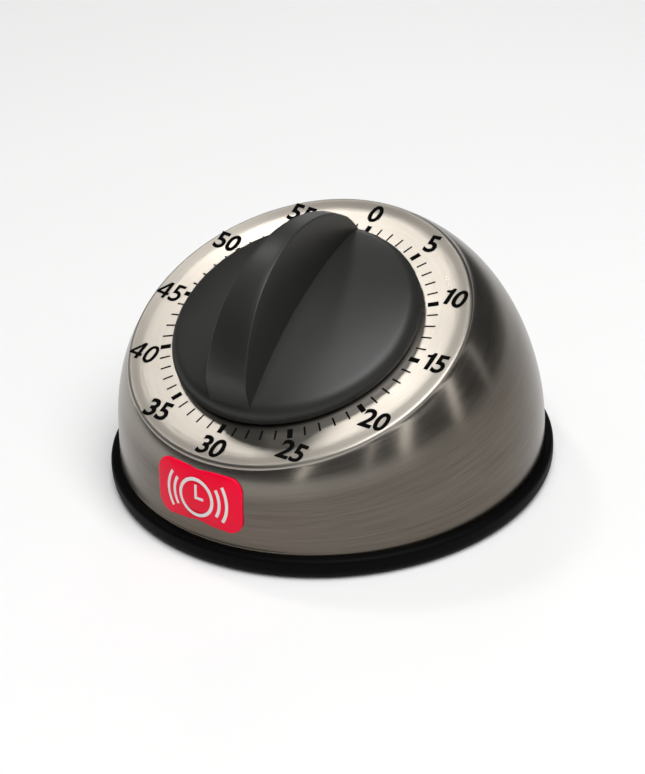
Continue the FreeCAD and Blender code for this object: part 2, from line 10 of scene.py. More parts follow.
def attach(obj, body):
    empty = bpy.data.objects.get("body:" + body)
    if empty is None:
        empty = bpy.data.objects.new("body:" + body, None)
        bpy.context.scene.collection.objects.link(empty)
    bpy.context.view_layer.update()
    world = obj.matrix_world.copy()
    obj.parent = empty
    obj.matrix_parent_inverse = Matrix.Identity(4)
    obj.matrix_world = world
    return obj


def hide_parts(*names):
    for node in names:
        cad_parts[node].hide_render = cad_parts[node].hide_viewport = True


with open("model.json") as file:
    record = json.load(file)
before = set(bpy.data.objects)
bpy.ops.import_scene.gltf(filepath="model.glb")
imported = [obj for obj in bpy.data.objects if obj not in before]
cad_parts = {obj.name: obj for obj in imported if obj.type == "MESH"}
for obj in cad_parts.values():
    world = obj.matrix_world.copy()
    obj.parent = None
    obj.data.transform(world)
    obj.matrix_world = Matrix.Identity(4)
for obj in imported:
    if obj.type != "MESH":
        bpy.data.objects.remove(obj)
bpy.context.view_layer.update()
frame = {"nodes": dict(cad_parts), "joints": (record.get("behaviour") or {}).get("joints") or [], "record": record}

# The frame is in metres. Shapes below are given in millimetres and scaled by MM.
MM = 0.001
TURN = 2 * math.pi
SHARP_ANGLE = math.radians(35)
KNOB_SHARP_ANGLE = math.radians(30)

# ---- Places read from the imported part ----

KNOB_JOINT = next(joint for joint in frame["joints"] if joint["name"] == "knob_turn")
DIAL_CENTRE = Vector(KNOB_JOINT["pos_m"]) / MM
OUTWARD = -Vector(KNOB_JOINT["axis"]).normalized()
DIAL_TILT = math.atan2(-OUTWARD.y, OUTWARD.z)
DIAL = Matrix.Translation(DIAL_CENTRE) @ Matrix.Rotation(DIAL_TILT, 4, "X")

# ---- Housing, in millimetres: the CAD part's sizes ----

SHEET = 0.8
BASE_R = 47.0
SKIRT_LOW = 1.0
SKIRT_TOP = 5.0
DOME_CENTRES = (Vector((0, 0, 5.0)), Vector((0, -0.49, 15.03)), Vector((0, -4.07, 26.83)))
DOME_RADII = (47.0, 46.44, 43.63, 37.8)
RIM_R = 37.8
RIM_DROP = 0.43
FLANGE_INNER_R = 37.5
FLANGE_LOW = 2.6
BUSH_R = 3.2
DIAL_SCREW_CIRCLE_R = 20.0
DIAL_SCREW_R = 1.05
DIAL_SCREW_HEAD_R = 1.85
BASE_SCREW_CIRCLE_R = 40.5
BASE_SCREW_R = 1.25

# Profile of the rim and the cove inside it, as radius and height in the dial frame.
# The cove is up to 0.8 mm wider than the CAD part's, and rises as high.
RIM_SIDE = (37.5, 0.12)
CREST = (36.9, 0.3)
COVE_TOP = (36.4, 0.235)
COVE_FOOT = (35.0, 0.04)
COVE_MIDDLE = (34.72, 0.01)
COVE_END = (34.4, 0.0)
UNDER_RIM = (36.2, -0.56)

# ---- Band and knob, in millimetres: the CAD part's sizes ----

BAND_R = 49.0
BAND_TOP = 4.6
FOOT_INNER_R = 43.0
FOOT_T = 1.0
KNOB_R = 27.2
KNOB_LOW = 0.6
KNOB_EDGE = 3.4
FLOOR_TOP = 8.0
FLOOR_SPHERE_R = 85.7
CREST_TOP = 22.4
CREST_SPHERE_R = 29.0
GRIP_HALF = 3.1
GRIP_TAPER = 0.0755
POINTER_LAG = math.radians(1.75)
HUB_R = 4.5
BORE_R = 2.02

# ---- Print and label, in millimetres ----

PRINT_LOW = 0.004
PRINT_HIGH = 0.03
BADGE_Z = 14.1
BADGE_T = 0.5


# ---- Mesh helpers ----


def new_object(name, vertices, faces):
    """Smooth-shaded object of points in millimetres, with its sharper edges kept crisp."""
    mesh = bpy.data.meshes.new(name)
    mesh.from_pydata([Vector(v) * MM for v in vertices], [], faces)
    mesh.polygons.foreach_set("use_smooth", [True] * len(mesh.polygons))
    mesh.set_sharp_from_angle(angle=SHARP_ANGLE)
    obj = bpy.data.objects.new(name, mesh)
    bpy.context.scene.collection.objects.link(obj)
    return obj


def arc_points(start, middle, end, steps):
    """Points on the circle through three 2-D points, from start to end."""
    (ax, ay), (bx, by), (cx, cy) = start, middle, end
    d = 2 * (ax * (by - cy) + bx * (cy - ay) + cx * (ay - by))
    a2, b2, c2 = ax * ax + ay * ay, bx * bx + by * by, cx * cx + cy * cy
    ux = (a2 * (by - cy) + b2 * (cy - ay) + c2 * (ay - by)) / d
    uy = (a2 * (cx - bx) + b2 * (ax - cx) + c2 * (bx - ax)) / d
    radius = math.hypot(ax - ux, ay - uy)
    first = math.atan2(ay - uy, ax - ux)
    via = (math.atan2(by - uy, bx - ux) - first) % TURN
    sweep = (math.atan2(cy - uy, cx - ux) - first) % TURN
    if via > sweep:
        sweep -= TURN
    angles = [first + sweep * i / steps for i in range(steps + 1)]
    return [(ux + radius * math.cos(a), uy + radius * math.sin(a)) for a in angles]


def flat_hoop(radius, height):
    return Vector((0, 0, height)), 0.0, radius


def dial_hoop(radius, height):
    return DIAL @ Vector((0, 0, height)), DIAL_TILT, radius


def hoop_points(hoop, segments):
    centre, tilt, radius = hoop
    turn = Matrix.Rotation(tilt, 3, "X")
    step = TURN / segments
    return [
        centre + turn @ Vector((radius * math.cos(i * step), radius * math.sin(i * step), 0))
        for i in range(segments)
    ]


def ring_map(obj, segments, distances):
    """UV map of a hoop mesh: U goes once round, V is a distance in metres along the profile."""
    layer = obj.data.uv_layers.new(name="rings")
    loop = 0
    for row, low in enumerate(distances):
        high = distances[(row + 1) % len(distances)]
        for i in range(segments):
            for u, v in ((i, low), (i + 1, low), (i + 1, high), (i, high)):
                layer.data[loop].uv = (u / segments, v * MM)
                loop += 1


def hoop_mesh(name, hoops, segments, closed=True):
    """Skin through a stack of circles. A hoop of no radius is a pole."""
    vertices, rows = [], []
    for hoop in hoops:
        if hoop[2] == 0:
            rows.append([len(vertices)] * segments)
            vertices.append(hoop[0])
        else:
            rows.append(list(range(len(vertices), len(vertices) + segments)))
            vertices.extend(hoop_points(hoop, segments))
    pairs = list(zip(rows, rows[1:]))
    if closed:
        pairs.append((rows[-1], rows[0]))
    faces = []
    for lower, upper in pairs:
        for i in range(segments):
            j = (i + 1) % segments
            corners = dict.fromkeys((lower[i], lower[j], upper[j], upper[i]))
            faces.append(tuple(corners))
    return new_object(name, vertices, faces)


def apply_modifier(obj, modifier):
    depsgraph = bpy.context.evaluated_depsgraph_get()
    mesh = bpy.data.meshes.new_from_object(obj.evaluated_get(depsgraph))
    obj.modifiers.remove(modifier)
    obj.data = mesh


def combine(obj, other, operation):
    modifier = obj.modifiers.new("combine", "BOOLEAN")
    modifier.object = other
    modifier.operation = operation
    modifier.solver = "EXACT"
    apply_modifier(obj, modifier)
    bpy.data.objects.remove(other)


# ---- Material helpers ----


class Nodes:
    """Short way to add linked shader nodes."""

    def __init__(self, name):
        self.material = bpy.data.materials.new(name)
        self.material.use_nodes = True
        self.tree = self.material.node_tree
        self.shader = self.tree.nodes["Principled BSDF"]
        self.coords = self.add("ShaderNodeTexCoord").outputs["Object"]

    def add(self, kind, **settings):
        node = self.tree.nodes.new(kind)
        for key, value in settings.items():
            setattr(node, key, value)
        return node

    def link(self, source, target):
        self.tree.links.new(source, target)

    def put(self, socket, value):
        if hasattr(value, "is_output"):
            self.link(value, socket)
        else:
            socket.default_value = value

    def math(self, operation, first, second=0.0):
        node = self.add("ShaderNodeMath", operation=operation)
        for socket, value in zip(node.inputs, (first, second)):
            self.put(socket, value)
        return node.outputs[0]

    def set(self, **values):
        for key, value in values.items():
            self.put(self.shader.inputs[key.replace("_", " ")], value)

    def noise(self, vector, scale, detail=2.0, roughness=0.5):
        node = self.add("ShaderNodeTexNoise")
        self.link(vector, node.inputs["Vector"])
        node.inputs["Scale"].default_value = scale
        node.inputs["Detail"].default_value = detail
        node.inputs["Roughness"].default_value = roughness
        return node.outputs["Fac"]

    def spread(self, value, low, high, start=0.3, stop=0.7):
        node = self.add("ShaderNodeMapRange")
        self.link(value, node.inputs["Value"])
        for socket, number in zip(list(node.inputs)[1:5], (start, stop, low, high)):
            socket.default_value = number
        return node.outputs[0]

    def tint(self, value, dark, light, start=0.3, stop=0.7):
        ramp = self.add("ShaderNodeValToRGB")
        self.link(value, ramp.inputs["Fac"])
        ramp.color_ramp.elements[0].position = start
        ramp.color_ramp.elements[1].position = stop
        ramp.color_ramp.elements[0].color = (*dark, 1)
        ramp.color_ramp.elements[1].color = (*light, 1)
        return ramp.outputs["Color"]

    def bump(self, height, strength, distance):
        node = self.add("ShaderNodeBump")
        self.link(height, node.inputs["Height"])
        node.inputs["Strength"].default_value = strength
        node.inputs["Distance"].default_value = distance
        self.link(node.outputs["Normal"], self.shader.inputs["Normal"])


def ring_coords(nodes, around, across):
    """Noise coordinates with long strokes round the rings and fine lines across them."""
    rings = nodes.add("ShaderNodeUVMap", uv_map="rings").outputs["UV"]
    split = nodes.add("ShaderNodeSeparateXYZ")
    nodes.link(rings, split.inputs[0])
    angle = nodes.math("MULTIPLY", split.outputs[0], TURN)
    join = nodes.add("ShaderNodeCombineXYZ")
    nodes.link(nodes.math("MULTIPLY", nodes.math("COSINE", angle), around), join.inputs[0])
    nodes.link(nodes.math("MULTIPLY", nodes.math("SINE", angle), around), join.inputs[1])
    nodes.link(nodes.math("MULTIPLY", split.outputs[1], across), join.inputs[2])
    return join.outputs[0], split.outputs[1]


def brushed_steel():
    """Sheet brushed round and round, with a rough cove. It is one steel carrying painted shade and light: the wall
    is tinted darker as painted shade, and the dial and the top of the wall are tinted lighter as painted light.

    past_rim is the distance past the crest of the rim in metres: less than 0 on the wall.
    """
    nodes = Nodes("brushed_steel")
    fine_at, past_rim = ring_coords(nodes, 5.0, 4200.0)
    coarse_at = ring_coords(nodes, 2.5, 1300.0)[0]
    fine = nodes.noise(fine_at, 1.0, 3.0, 0.6)
    coarse = nodes.noise(coarse_at, 1.0, 2.0)
    fine_part = nodes.math("MULTIPLY", fine, 0.6)
    strokes = nodes.math("ADD", fine_part, nodes.math("MULTIPLY", coarse, 0.4))
    clouds = nodes.noise(nodes.coords, 70.0, 3.0)
    # Painted shade and light: the wall and the dial are the same steel, tinted darker on the wall and lighter on
    # the dial.
    wall = nodes.tint(strokes, (0.113, 0.097, 0.08), (0.162, 0.14, 0.117), 0.35, 0.65)
    dial = nodes.tint(strokes, (0.35, 0.325, 0.29), (0.39, 0.362, 0.325), 0.35, 0.65)
    mix = nodes.add("ShaderNodeMix", data_type="RGBA")
    colour_a, colour_b, colour_result = mix.inputs[6], mix.inputs[7], mix.outputs[2]
    # The lighter dial tint fades in over the top 14 mm of the wall, a painted highlight on the ridge and the upper
    # wall.
    nodes.link(nodes.spread(past_rim, 0.0, 1.0, -0.014, -0.0005), mix.inputs["Factor"])
    nodes.link(wall, colour_a)
    nodes.link(dial, colour_b)
    nodes.link(colour_result, nodes.shader.inputs["Base Color"])
    grain = nodes.math("ADD", nodes.spread(strokes, -0.03, 0.03), nodes.spread(clouds, 0.21, 0.24))
    rough_inside = nodes.spread(past_rim, 0.0, 0.26, -0.0015, 0.0004)
    smooth_dial = nodes.spread(past_rim, 0.0, -0.18, 0.0012, 0.0032)
    nodes.set(Roughness=nodes.math("ADD", grain, nodes.math("ADD", rough_inside, smooth_dial)))
    nodes.set(Metallic=1.0, Anisotropic=0.6, Anisotropic_Rotation=0.25)
    tangent = nodes.add("ShaderNodeTangent", direction_type="UV_MAP", uv_map="rings")
    nodes.link(tangent.outputs[0], nodes.shader.inputs["Tangent"])
    nodes.bump(strokes, 0.1, 0.00002)
    return nodes.material


def grey(value):
    return value, value, value


def rubber():
    nodes = Nodes("rubber")
    grain = nodes.noise(nodes.coords, 2500.0, 3.0)
    nodes.set(Base_Color=nodes.tint(grain, grey(0.0015), grey(0.003)))
    nodes.set(Roughness=nodes.spread(grain, 0.45, 0.58), Specular_IOR_Level=0.04)
    nodes.bump(grain, 0.15, 0.00003)
    return nodes.material


def moulded_plastic(name, dark, light, rough_low, rough_high, specular=0.5):
    nodes = Nodes(name)
    grain = nodes.noise(nodes.coords, 3500.0, 3.0)
    clouds = nodes.noise(nodes.coords, 90.0, 2.0)
    nodes.set(Base_Color=nodes.tint(clouds, dark, light))
    nodes.set(Roughness=nodes.spread(grain, rough_low, rough_high), Specular_IOR_Level=specular)
    nodes.bump(grain, 0.1, 0.00002)
    return nodes.material


def plain_metal(name, dark, light, rough_low, rough_high):
    nodes = Nodes(name)
    clouds = nodes.noise(nodes.coords, 700.0, 3.0)
    nodes.set(Metallic=1.0)
    nodes.set(Base_Color=nodes.tint(clouds, dark, light))
    nodes.set(Roughness=nodes.spread(clouds, rough_low, rough_high))
    return nodes.material


def printed_ink():
    nodes = Nodes("printed_ink")
    grain = nodes.noise(nodes.coords, 4000.0, 2.0)
    nodes.set(Base_Color=nodes.tint(grain, grey(0.003), grey(0.006)))
    nodes.set(Roughness=nodes.spread(grain, 0.5, 0.65), Specular_IOR_Level=0.0)
    return nodes.material


MATERIALS = {
    "brushed_steel": brushed_steel(),
    "rubber": rubber(),
    "black_plastic": moulded_plastic("black_plastic", grey(0.012), grey(0.018), 0.5, 0.65),
    "knob_plastic": moulded_plastic(
        "knob_plastic", (0.014, 0.014, 0.0128), (0.017, 0.017, 0.0155), 0.38, 0.46),
    "badge_red": moulded_plastic(
        "badge_red", (0.94, 0.0, 0.032), (0.98, 0.001, 0.042), 0.3, 0.4, 0.15),
    "nylon": moulded_plastic("nylon", (0.7, 0.69, 0.64), (0.8, 0.79, 0.75), 0.35, 0.5),
    "zinc_steel": plain_metal("zinc_steel", (0.5, 0.51, 0.53), (0.66, 0.67, 0.68), 0.25, 0.38),
    "spring_steel": plain_metal("spring_steel", (0.16, 0.18, 0.22), (0.26, 0.28, 0.33), 0.22, 0.34),
    "brass": plain_metal("brass", (0.6, 0.43, 0.16), (0.74, 0.56, 0.24), 0.25, 0.38),
    "gong_steel": plain_metal("gong_steel", grey(0.52), grey(0.62), 0.12, 0.2),
}
INK = printed_ink()
WHITE = moulded_plastic("white_ink", grey(0.8), grey(0.86), 0.35, 0.45)


def finish_piece(obj, material, body, slot, *replaced):
    obj.data.materials.clear()
    obj.data.materials.append(material)
    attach(obj, body)
    if replaced:
        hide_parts(*replaced)


def paint_cad_nodes():
    slots = {row["node"]: row["material_slot"] for row in frame["record"]["subparts"]}
    for name, obj in frame["nodes"].items():
        obj.data.materials.clear()
        obj.data.materials.append(MATERIALS[slots[name]])


# ---- Pieces ----


def dome_hoop(share, inset):
    """Hoop at a share of the way up the dome: cubic through the four CAD sections."""
    knots = (0, 1 / 3, 2 / 3, 1)
    centres = (*DOME_CENTRES, DIAL @ Vector((0, 0, -RIM_DROP)))
    centre, radius = Vector((0, 0, 0)), -inset
    for i, knot in enumerate(knots):
        weight = 1.0
        for other in knots[:i] + knots[i + 1:]:
            weight *= (share - other) / (knot - other)
        centre += centres[i] * weight
        radius += DOME_RADII[i] * weight
    return centre, DIAL_TILT * share, radius


def screw_holes():
    """Cones for the three dial screws and drills for the three base screws, as one cutter."""
    sides, cut_past = 32, 0.5
    cone = (
        (-SHEET - cut_past, DIAL_SCREW_R),
        (-SHEET, DIAL_SCREW_R),
        (0.0, DIAL_SCREW_HEAD_R),
        (cut_past, DIAL_SCREW_HEAD_R),
    )
    drill = ((FLANGE_LOW - cut_past, BASE_SCREW_R), (FLANGE_LOW + SHEET + cut_past, BASE_SCREW_R))
    groups = (
        (DIAL, DIAL_SCREW_CIRCLE_R, (30, 150, 270), cone),
        (Matrix.Identity(4), BASE_SCREW_CIRCLE_R, (90, 210, 330), drill),
    )
    vertices, faces = [], []
    places = []
    for ground, circle_r, degrees, rings in groups:
        for angle in map(math.radians, degrees):
            spot = Vector((circle_r * math.cos(angle), circle_r * math.sin(angle), 0))
            places.append((ground @ Matrix.Translation(spot), rings))
    for place, rings in places:
        start = len(vertices)
        for height, radius in rings:
            for i in range(sides):
                turn = TURN * i / sides
                spot = Vector((radius * math.cos(turn), radius * math.sin(turn), height))
                vertices.append(place @ spot)
        for row in range(len(rings) - 1):
            for i in range(sides):
                j = (i + 1) % sides
                low, high = start + row * sides, start + (row + 1) * sides
                faces.append((low + i, low + j, high + j, high + i))
        faces.append(tuple(start + i for i in reversed(range(sides))))
        faces.append(tuple(len(vertices) - sides + i for i in range(sides)))
    return new_object("screw_holes", vertices, faces)


def make_housing():
    """The sheet housing as one hoop mesh: up the wall, over the rim, in to the bush and back."""
    dome_steps, arc_steps, segments = 40, 8, 256
    hoops = [flat_hoop(BASE_R, SKIRT_LOW), flat_hoop(BASE_R, (SKIRT_LOW + SKIRT_TOP) / 2)]
    hoops += [dome_hoop(i / dome_steps, 0) for i in range(dome_steps)]
    rim = arc_points((RIM_R, -RIM_DROP), RIM_SIDE, CREST, arc_steps)
    hoops += [dial_hoop(r, h) for r, h in rim]
    crest_row = len(hoops) - 1
    cove = [COVE_TOP] + arc_points(COVE_FOOT, COVE_MIDDLE, COVE_END, arc_steps)
    dial = [(r, 0.0) for r in (33.0, 28.0, 20.0, 12.0, BUSH_R)]
    under = [(BUSH_R, -SHEET), (20.0, -SHEET), (COVE_END[0], -SHEET), UNDER_RIM]
    hoops += [dial_hoop(r, h) for r, h in cove + dial + under]
    hoops += [dome_hoop(1 - i / dome_steps, SHEET) for i in range(dome_steps + 1)]
    flange_top = FLANGE_LOW + SHEET
    inner_r = BASE_R - SHEET
    inner = [(inner_r, flange_top), (FLANGE_INNER_R, flange_top), (FLANGE_INNER_R, FLANGE_LOW)]
    inner += [(inner_r, FLANGE_LOW), (inner_r, SKIRT_LOW)]
    hoops += [flat_hoop(r, h) for r, h in inner]
    distances = [0.0]
    for (low, _, low_r), (high, _, high_r) in zip(hoops, hoops[1:]):
        distances.append(distances[-1] + math.hypot((high - low).length, high_r - low_r))
    obj = hoop_mesh("housing_shell", hoops, segments)
    ring_map(obj, segments, [distance - distances[crest_row] for distance in distances])
    combine(obj, screw_holes(), "DIFFERENCE")
    finish_piece(obj, MATERIALS["brushed_steel"], "case", "brushed_steel", "steel_housing")
    return obj


def make_band():
    """Rubber band round the base, rounded below and above, with a turned-in foot."""
    steps, low_r, top_r, gap = 8, 2.1, 1.0, 0.02
    bevel = 1 - math.sqrt(0.5)
    low_middle = (BAND_R - bevel * low_r, bevel * low_r)
    top_middle = (BAND_R - bevel * top_r, BAND_TOP - bevel * top_r)
    profile = [(FOOT_INNER_R, 0.0)]
    profile += arc_points((BAND_R - low_r, 0), low_middle, (BAND_R, low_r), steps)
    profile += arc_points((BAND_R, BAND_TOP - top_r), top_middle, (BAND_R - top_r, BAND_TOP), steps)
    profile += [(BASE_R + gap, BAND_TOP), (BASE_R + gap, FOOT_T), (FOOT_INNER_R, FOOT_T)]
    obj = hoop_mesh("base_band", [flat_hoop(r, h) for r, h in profile], 256)
    finish_piece(obj, MATERIALS["rubber"], "case", "rubber", "rubber_base_ring")


def floor_height(x, y, drop=0.0):
    """Height of the knob's domed top, or of the surface this far below it."""
    radius = FLOOR_SPHERE_R - drop
    return FLOOR_TOP - FLOOR_SPHERE_R + math.sqrt(radius * radius - x * x - y * y)


def crest_height(x, y):
    """Ball-shaped crest of the blade, sloped down to the knob's edge at its broad end."""
    ball = CREST_TOP - CREST_SPHERE_R + math.sqrt(CREST_SPHERE_R ** 2 - x * x - y * y)
    foot_y, foot_z, slope = -25.8, 3.9, 3.0
    return min(ball, foot_z + slope * (y - foot_y))


def knob_dish():
    """Round body of the knob with its hub, as one turned solid in the dial frame."""
    wall, under_edge = 1.8, 0.3
    edge_r = KNOB_R - KNOB_EDGE
    edge_rise = math.sqrt((FLOOR_SPHERE_R - KNOB_EDGE) ** 2 - edge_r ** 2)
    edge_z = FLOOR_TOP - FLOOR_SPHERE_R + edge_rise
    lean = math.atan2(edge_z - FLOOR_TOP + FLOOR_SPHERE_R, edge_r)
    edge_steps, floor_steps, under_steps = 10, 24, 8
    top_r = edge_r + KNOB_EDGE * math.cos(lean)
    profile = [(0.0, FLOOR_TOP)]
    for i in range(1, floor_steps):
        radius = top_r * i / floor_steps
        profile.append((radius, floor_height(radius, 0)))
    for i in range(edge_steps + 1):
        angle = lean * (1 - i / edge_steps)
        profile.append((edge_r + KNOB_EDGE * math.cos(angle), edge_z + KNOB_EDGE * math.sin(angle)))
    profile += [(KNOB_R, KNOB_LOW + under_edge), (KNOB_R - under_edge, KNOB_LOW)]
    dish_r = KNOB_R - wall
    profile += [(dish_r, KNOB_LOW), (dish_r, floor_height(dish_r, 0, wall))]
    for i in range(1, under_steps + 1):
        radius = dish_r + (HUB_R - dish_r) * i / under_steps
        profile.append((radius, floor_height(radius, 0, wall)))
    hub_low, bore_top = 0.8, 7.0
    profile += [(HUB_R, hub_low), (BORE_R, hub_low), (BORE_R, bore_top), (0.0, bore_top)]
    hoops = [(Vector((0, 0, h)), 0.0, r) for r, h in reversed(profile)]
    return hoop_mesh("turning_knob", hoops, 192, closed=False)


def grip_blade():
    """Tapering blade with softened edges. Its outline follows the knob's round edge.

    Past rounding_r the crest curves down to the edge. Each row of offsets holds the distance from
    the middle of the blade and the drop below the crest; the foot of the row sinks into the knob.
    """
    reach, soft, sink, stations = 26.8, 0.25, 1.0, 72
    rounding_r, rounding = 24.4, 1.15
    round_steps, top_steps, foot = 4, 6, -math.inf
    rows = []
    for i in range(stations + 1):
        along = -reach * math.cos(math.pi * i / stations)
        half = GRIP_HALF - GRIP_TAPER * along
        offsets = [(half, foot), (half, -soft)]
        offsets += [
            (half - soft * (1 - math.cos(math.pi / 2 * k / round_steps)),
             -soft * (1 - math.sin(math.pi / 2 * k / round_steps)))
            for k in range(1, round_steps + 1)
        ]
        flat = half - soft
        offsets += [(flat - 2 * flat * k / top_steps, 0.0) for k in range(1, top_steps)]
        right_side = offsets[:2 + round_steps]
        offsets += [(-x, drop) for x, drop in reversed(right_side)]
        row = []
        for x, drop in offsets:
            y = along * math.sqrt(reach * reach - x * x) / reach
            low = floor_height(x, y) - sink
            past = max(0.0, math.hypot(x, y) - rounding_r)
            high = crest_height(x, y) - past * past / (2 * rounding) + drop
            row.append(Vector((x, y, max(low, high))))
        rows.append(row)
    count = len(rows[0])
    vertices = [point for row in rows for point in row]
    faces = []
    for i in range(stations):
        for k in range(count):
            n = (k + 1) % count
            low, high = i * count, (i + 1) * count
            faces.append((low + k, low + n, high + n, high + k))
    faces.append(tuple(reversed(range(count))))
    faces.append(tuple(range(stations * count, (stations + 1) * count)))
    return new_object("grip_blade", vertices, faces)


def make_knob():
    obj = knob_dish()
    combine(obj, grip_blade(), "UNION")
    heading = Matrix.Rotation(POINTER_LAG, 4, "Z")
    place = Matrix.Scale(MM, 4) @ DIAL @ heading @ Matrix.Scale(1 / MM, 4)
    obj.data.transform(place)
    obj.data.set_sharp_from_angle(angle=KNOB_SHARP_ANGLE)
    finish_piece(obj, MATERIALS["knob_plastic"], "knob", "knob_plastic", "knob")


def box_faces(start):
    order = ((0, 3, 2, 1), (4, 5, 6, 7), (0, 1, 5, 4), (1, 2, 6, 5), (2, 3, 7, 6), (3, 0, 4, 7))
    return [tuple(start + k for k in face) for face in order]


def make_ticks():
    inner, outer, thin, thick = 28.15, 30.45, 0.4, 1.15
    vertices, faces = [], []
    for minute in range(60):
        half = (thick if minute % 5 == 0 else thin) / 2
        turn = Matrix.Rotation(-TURN * minute / 60, 4, "Z")
        for height in (PRINT_LOW, PRINT_HIGH):
            for x, y in ((-half, inner), (half, inner), (half, outer), (-half, outer)):
                vertices.append(DIAL @ turn @ Vector((x, y, height)))
        faces += box_faces(8 * minute)
    finish_piece(new_object("dial_ticks", vertices, faces), INK, "case", "brushed_steel")


def dial_height(radius):
    """Height of the dial face, which turns up in a cove towards the rim."""
    (foot_r, foot_z), (top_r, top_z) = COVE_FOOT, COVE_TOP
    return foot_z + (top_z - foot_z) * max(0.0, radius - foot_r) / (top_r - foot_r)


# Flat polygons of two digits, in units of the digit height.
DRAWN_DIGITS = {
    "1": (
        (
            (0.19, 0.0), (0.4, 0.0), (0.4, 1.0), (0.26, 1.0),
            (0.17, 0.85), (0.0, 0.8), (0.0, 0.68), (0.19, 0.68),
        ),
    ),
    "4": (
        ((0.04, 0.21), (0.43, 0.21), (0.43, 0.36), (0.2, 0.36), (0.04, 0.36)),
        ((0.04, 0.36), (0.2, 0.36), (0.43, 0.74), (0.43, 1.0)),
        ((0.43, 0.36), (0.6, 0.36), (0.6, 1.0), (0.43, 1.0), (0.43, 0.74)),
        ((0.43, 0.21), (0.6, 0.21), (0.6, 0.36), (0.43, 0.36)),
        ((0.43, 0.0), (0.6, 0.0), (0.6, 0.21), (0.43, 0.21)),
        ((0.6, 0.21), (0.69, 0.21), (0.69, 0.36), (0.6, 0.36)),
    ),
}


def add_digit(shape, polygons):
    """Adds a drawn digit to the left of the digit that is there. The gap is in digit heights."""
    gap = 0.1
    left = min(v.co.x for v in shape.verts)
    top = max(v.co.y for v in shape.verts)
    right = max(x for polygon in polygons for x, _ in polygon)
    corners = {}
    for polygon in polygons:
        for x, y in polygon:
            if (x, y) not in corners:
                corners[x, y] = shape.verts.new((left + (x - right - gap) * top, y * top, 0))
        shape.faces.new([corners[corner] for corner in polygon])


def number_mesh(text, cap):
    """Flat digits of the given height, centred on the origin and cut into small tiles."""
    curve = bpy.data.curves.new("number", "FONT")
    curve.body = text.lstrip("".join(DRAWN_DIGITS))
    curve.offset = 0.012 if "4" in text else 0.027
    curve.resolution_u = 8
    obj = bpy.data.objects.new("number", curve)
    bpy.context.scene.collection.objects.link(obj)
    bpy.context.view_layer.update()
    flat = bpy.data.meshes.new_from_object(obj.evaluated_get(bpy.context.evaluated_depsgraph_get()))
    bpy.data.objects.remove(obj)
    shape = bmesh.new()
    shape.from_mesh(flat)
    bmesh.ops.remove_doubles(shape, verts=shape.verts, dist=0.0001)
    if text[0] in DRAWN_DIGITS:
        add_digit(shape, DRAWN_DIGITS[text[0]])
    lows = [min(v.co[axis] for v in shape.verts) for axis in (0, 1)]
    highs = [max(v.co[axis] for v in shape.verts) for axis in (0, 1)]
    size = cap / (highs[1] - lows[1])
    middle = Vector(((lows[0] + highs[0]) / 2, (lows[1] + highs[1]) / 2, 0))
    for v in shape.verts:
        v.co = (v.co - middle) * size
    tile, reach = 0.5, 12
    for axis in (Vector((1, 0, 0)), Vector((0, 1, 0))):
        for i in range(-reach, reach + 1):
            everything = shape.verts[:] + shape.edges[:] + shape.faces[:]
            spot = axis * (i * tile)
            bmesh.ops.bisect_plane(shape, geom=everything, plane_co=spot, plane_no=axis)
    bmesh.ops.remove_doubles(shape, verts=shape.verts, dist=0.002)
    points = [v.co.copy() for v in shape.verts]
    polygons = [tuple(v.index for v in face.verts) for face in shape.faces]
    shape.free()
    return points, polygons


def solid_faces(polygons, start, count):
    """Faces of a flat mesh copied low and high, with side walls along its open edges."""
    faces = [tuple(start + k for k in reversed(p)) for p in polygons]
    faces += [tuple(start + count + k for k in p) for p in polygons]
    edges = {(p[i], p[(i + 1) % len(p)]) for p in polygons for i in range(len(p))}
    for a, b in sorted(edges):
        if (b, a) not in edges:
            faces.append((start + a, start + b, start + count + b, start + count + a))
    return faces


def make_numbers():
    ring_r, cap, lag = 34.0, 4.75, math.radians(1.2)
    vertices, faces = [], []
    for minute in range(0, 60, 5):
        points, polygons = number_mesh(str(minute), cap)
        angle = TURN * minute / 60 - lag
        centre = Vector((ring_r * math.sin(angle), ring_r * math.cos(angle), 0))
        start = len(vertices)
        for height in (PRINT_LOW, PRINT_HIGH):
            for p in points:
                spot = centre + p
                spot.z = dial_height(spot.length) + height
                vertices.append(DIAL @ spot)
        faces += solid_faces(polygons, start, len(points))
    finish_piece(new_object("dial_numbers", vertices, faces), INK, "case", "brushed_steel")


# ---- Badge ----


def surface_finder(obj):
    """Function that gives the point and normal of the front wall at a world X and Z."""
    mesh = obj.data
    points = [v.co / MM for v in mesh.vertices]
    tree = BVHTree.FromPolygons(points, [p.vertices for p in mesh.polygons])

    outside_y = -80

    def find(x, z, lift):
        point, normal = tree.ray_cast(Vector((x, outside_y, z)), Vector((0, 1, 0)))[:2]
        if normal.y > 0:
            normal = -normal
        return point + normal * lift

    return find


def rounded_outline(half_wide, half_high, corner_r, steps):
    """Points round a rectangle with round corners, in the X and Z of the label."""
    points = []
    for quarter, (sx, sz) in enumerate(((1, 1), (-1, 1), (-1, -1), (1, -1))):
        for i in range(steps + 1):
            angle = math.pi / 2 * (quarter + i / steps)
            x = sx * (half_wide - corner_r) + corner_r * math.cos(angle)
            z = sz * (half_high - corner_r) + corner_r * math.sin(angle)
            points.append((x, z))
    return points


